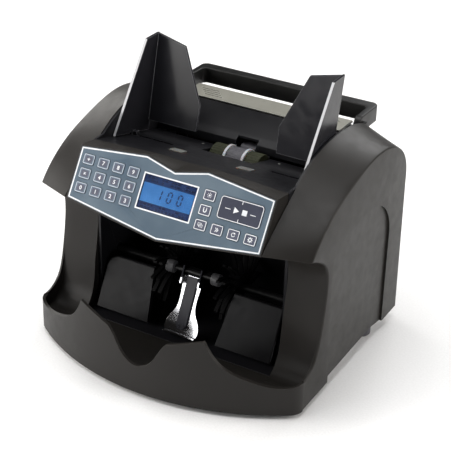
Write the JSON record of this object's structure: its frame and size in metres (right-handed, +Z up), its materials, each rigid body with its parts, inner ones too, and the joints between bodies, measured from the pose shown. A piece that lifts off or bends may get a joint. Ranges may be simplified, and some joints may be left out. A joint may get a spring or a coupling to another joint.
{
  "type": "banknote counting machine",
  "caption": "Desk-top banknote counter: arched side shells, sloping keypad and display, hopper with sliding guides, front note bay, rear handle.",
  "frame": {"origin": "on the surface it stands on, under the middle of the overall box", "axes": "+X to the user's right, +Y to the rear, +Z up; the keypad and the note bay face -Y"},
  "size_m": [0.288, 0.28, 0.2745],
  "materials": {
    "shell_plastic": "fine spark-textured dark grey moulding",
    "deck_plastic": "smooth black moulding, low sheen",
    "guide_plastic": "smooth black moulding, satin",
    "panel_film": "satin blue-silver printed film",
    "key_film": "satin film key with a pale outline",
    "start_film": "satin dark blue film key",
    "display_glass": "clear window over a lit blue display",
    "circuit_board": "green solder mask",
    "pad_plastic": "translucent grey sensor cover",
    "light_plastic": "light warm grey moulding",
    "bright_metal": "polished",
    "dark_spring": "blued spring steel",
    "black_nylon": "black nylon",
    "shaft_steel": "ground",
    "pale_nylon": "off-white nylon",
    "olive_rubber": "olive feed rubber",
    "black_rubber": "black rubber",
    "drum_plastic": "dark grey moulding with ribs",
    "plated_steel": "zinc plated sheet",
    "motor_paint": "black enamel"
  },
  "bodies": {
    "body": {"base_pan": "plated_steel", "bay_liner": "deck_plastic", "case_screws": "shaft_steel", "control_housing": "shell_plastic", "display_board": "circuit_board", "drive_belts": "black_rubber", "drive_motor": "motor_paint", "feet": "black_rubber", "frame_plates": "plated_steel", "front_tray": "shell_plastic", "hopper_back_plate": "deck_plastic", "hopper_pads": "pad_plastic", "hopper_tub": "deck_plastic", "lcd_window": "display_glass", "left_cheek": "shell_plastic", "main_board": "circuit_board", "note_arm": "dark_spring", "note_bracket": "bright_metal", "panel_overlay": "panel_film", "power_inlet": "black_nylon", "power_supply": "plated_steel", "rear_cover": "shell_plastic", "rear_top_plate": "light_plastic", "right_cheek": "shell_plastic", "shaft_bearings": "shaft_steel", "stacker_plates": "deck_plastic"},
    "right_guide": {"right_guide": "guide_plastic"},
    "left_guide": {"left_guide": "guide_plastic"},
    "pinion": {"guide_pinion": "black_nylon"},
    "drum": {"transport_drum": "drum_plastic"},
    "feed_rollers": {"feed_shaft": "shaft_steel", "feed_rubbers": "olive_rubber", "feed_flanges": "pale_nylon", "feed_centre_roller": "black_rubber"},
    "stacker": {"stacker_shaft": "shaft_steel", "stacker_wheels": "black_nylon"},
    "exit": {"exit_rollers": "pale_nylon"},
    "retard": {"retard_roller": "black_rubber"},
    "motor_rotor": {"motor_pulley": "shaft_steel"},
    "handle": {"carry_handle": "shell_plastic"},
    "rocker": {"rocker_switch": "black_nylon"},
    "key_0": {"key_0": "key_film"},
    "key_1": {"key_1": "key_film"},
    "key_2": {"key_2": "key_film"},
    "key_3": {"key_3": "key_film"},
    "key_4": {"key_4": "key_film"},
    "key_5": {"key_5": "key_film"},
    "key_6": {"key_6": "key_film"},
    "key_7": {"key_7": "key_film"},
    "key_8": {"key_8": "key_film"},
    "key_9": {"key_9": "key_film"},
    "key_auto": {"key_auto": "key_film"},
    "key_clear": {"key_clear": "key_film"},
    "key_double": {"key_double": "key_film"},
    "key_light": {"key_light": "key_film"},
    "key_magnet": {"key_magnet": "key_film"},
    "key_plus": {"key_plus": "key_film"},
    "key_set": {"key_set": "key_film"},
    "key_speed": {"key_speed": "key_film"},
    "key_start": {"key_start": "start_film"}
  },
  "joints": [
    {"name": "right_guide_slide", "type": "slide", "parent": "body", "child": "right_guide", "axis": [-1, 0, 0], "range_m": [0, 0.038]},
    {"name": "left_guide_slide", "type": "slide", "parent": "body", "child": "left_guide", "axis": [1, 0, 0], "range_m": [0, 0.038]},
    {"name": "pinion_turn", "type": "hinge", "parent": "body", "child": "pinion", "pos_m": [0, 0.007, 0.1655], "axis": [0, 0, 1], "range_deg": [-273, 0]},
    {"name": "drum_spin", "type": "hinge", "parent": "body", "child": "drum", "pos_m": [0, 0.019, 0.128], "axis": [1, 0, 0], "continuous": true},
    {"name": "feed_spin", "type": "hinge", "parent": "body", "child": "feed_rollers", "pos_m": [0, 0.04, 0.1655], "axis": [1, 0, 0], "continuous": true},
    {"name": "stacker_spin", "type": "hinge", "parent": "body", "child": "stacker", "pos_m": [0, -0.017, 0.068], "axis": [1, 0, 0], "continuous": true},
    {"name": "motor_spin", "type": "hinge", "parent": "body", "child": "motor_rotor", "pos_m": [0, 0.082, 0.06], "axis": [1, 0, 0], "continuous": true},
    {"name": "exit_spin", "type": "hinge", "parent": "body", "child": "exit", "pos_m": [0, -0.039, 0.0815], "axis": [1, 0, 0], "continuous": true},
    {"name": "retard_spin", "type": "hinge", "parent": "body", "child": "retard", "pos_m": [0, 0.0645, 0.168], "axis": [1, 0, 0], "continuous": true},
    {"name": "handle_hinge", "type": "hinge", "parent": "body", "child": "handle", "pos_m": [0, 0.1035, 0.207], "axis": [1, 0, 0], "range_deg": [0, 90]},
    {"name": "rocker_tilt", "type": "hinge", "parent": "body", "child": "rocker", "pos_m": [0.0545, 0.113, 0.037], "axis": [1, 0, 0], "range_deg": [0, 16]},
    {"name": "key_0_press", "type": "slide", "parent": "body", "child": "key_0", "axis": [0, 0.8522, -0.5232], "range_m": [0, 0.0005], "stiffness_N_per_m": 300, "springref_m": -0.0005},
    {"name": "key_1_press", "type": "slide", "parent": "body", "child": "key_1", "axis": [0, 0.8522, -0.5232], "range_m": [0, 0.0005], "stiffness_N_per_m": 300, "springref_m": -0.0005},
    {"name": "key_2_press", "type": "slide", "parent": "body", "child": "key_2", "axis": [0, 0.8522, -0.5232], "range_m": [0, 0.0005], "stiffness_N_per_m": 300, "springref_m": -0.0005},
    {"name": "key_3_press", "type": "slide", "parent": "body", "child": "key_3", "axis": [0, 0.8522, -0.5232], "range_m": [0, 0.0005], "stiffness_N_per_m": 300, "springref_m": -0.0005},
    {"name": "key_4_press", "type": "slide", "parent": "body", "child": "key_4", "axis": [0, 0.8522, -0.5232], "range_m": [0, 0.0005], "stiffness_N_per_m": 300, "springref_m": -0.0005},
    {"name": "key_5_press", "type": "slide", "parent": "body", "child": "key_5", "axis": [0, 0.8522, -0.5232], "range_m": [0, 0.0005], "stiffness_N_per_m": 300, "springref_m": -0.0005},
    {"name": "key_6_press", "type": "slide", "parent": "body", "child": "key_6", "axis": [0, 0.8522, -0.5232], "range_m": [0, 0.0005], "stiffness_N_per_m": 300, "springref_m": -0.0005},
    {"name": "key_7_press", "type": "slide", "parent": "body", "child": "key_7", "axis": [0, 0.8522, -0.5232], "range_m": [0, 0.0005], "stiffness_N_per_m": 300, "springref_m": -0.0005},
    {"name": "key_8_press", "type": "slide", "parent": "body", "child": "key_8", "axis": [0, 0.8522, -0.5232], "range_m": [0, 0.0005], "stiffness_N_per_m": 300, "springref_m": -0.0005},
    {"name": "key_9_press", "type": "slide", "parent": "body", "child": "key_9", "axis": [0, 0.8522, -0.5232], "range_m": [0, 0.0005], "stiffness_N_per_m": 300, "springref_m": -0.0005},
    {"name": "key_auto_press", "type": "slide", "parent": "body", "child": "key_auto", "axis": [0, 0.8522, -0.5232], "range_m": [0, 0.0005], "stiffness_N_per_m": 300, "springref_m": -0.0005},
    {"name": "key_clear_press", "type": "slide", "parent": "body", "child": "key_clear", "axis": [0, 0.8522, -0.5232], "range_m": [0, 0.0005], "stiffness_N_per_m": 300, "springref_m": -0.0005},
    {"name": "key_double_press", "type": "slide", "parent": "body", "child": "key_double", "axis": [0, 0.8522, -0.5232], "range_m": [0, 0.0005], "stiffness_N_per_m": 300, "springref_m": -0.0005},
    {"name": "key_light_press", "type": "slide", "parent": "body", "child": "key_light", "axis": [0, 0.8522, -0.5232], "range_m": [0, 0.0005], "stiffness_N_per_m": 300, "springref_m": -0.0005},
    {"name": "key_magnet_press", "type": "slide", "parent": "body", "child": "key_magnet", "axis": [0, 0.8522, -0.5232], "range_m": [0, 0.0005], "stiffness_N_per_m": 300, "springref_m": -0.0005},
    {"name": "key_plus_press", "type": "slide", "parent": "body", "child": "key_plus", "axis": [0, 0.8522, -0.5232], "range_m": [0, 0.0005], "stiffness_N_per_m": 300, "springref_m": -0.0005},
    {"name": "key_set_press", "type": "slide", "parent": "body", "child": "key_set", "axis": [0, 0.8522, -0.5232], "range_m": [0, 0.0005], "stiffness_N_per_m": 300, "springref_m": -0.0005},
    {"name": "key_speed_press", "type": "slide", "parent": "body", "child": "key_speed", "axis": [0, 0.8522, -0.5232], "range_m": [0, 0.0005], "stiffness_N_per_m": 300, "springref_m": -0.0005},
    {"name": "key_start_press", "type": "slide", "parent": "body", "child": "key_start", "axis": [0, 0.8522, -0.5232], "range_m": [0, 0.0005], "stiffness_N_per_m": 300, "springref_m": -0.0005}
  ],
  "couplings": [
    {"joint": "left_guide_slide", "follows": "right_guide_slide", "ratio": 1},
    {"joint": "pinion_turn", "follows": "right_guide_slide", "rad_per_m": -125},
    {"joint": "feed_spin", "follows": "drum_spin", "ratio": 1.2},
    {"joint": "stacker_spin", "follows": "drum_spin", "ratio": 0.8},
    {"joint": "motor_spin", "follows": "drum_spin", "ratio": 2}
  ]
}
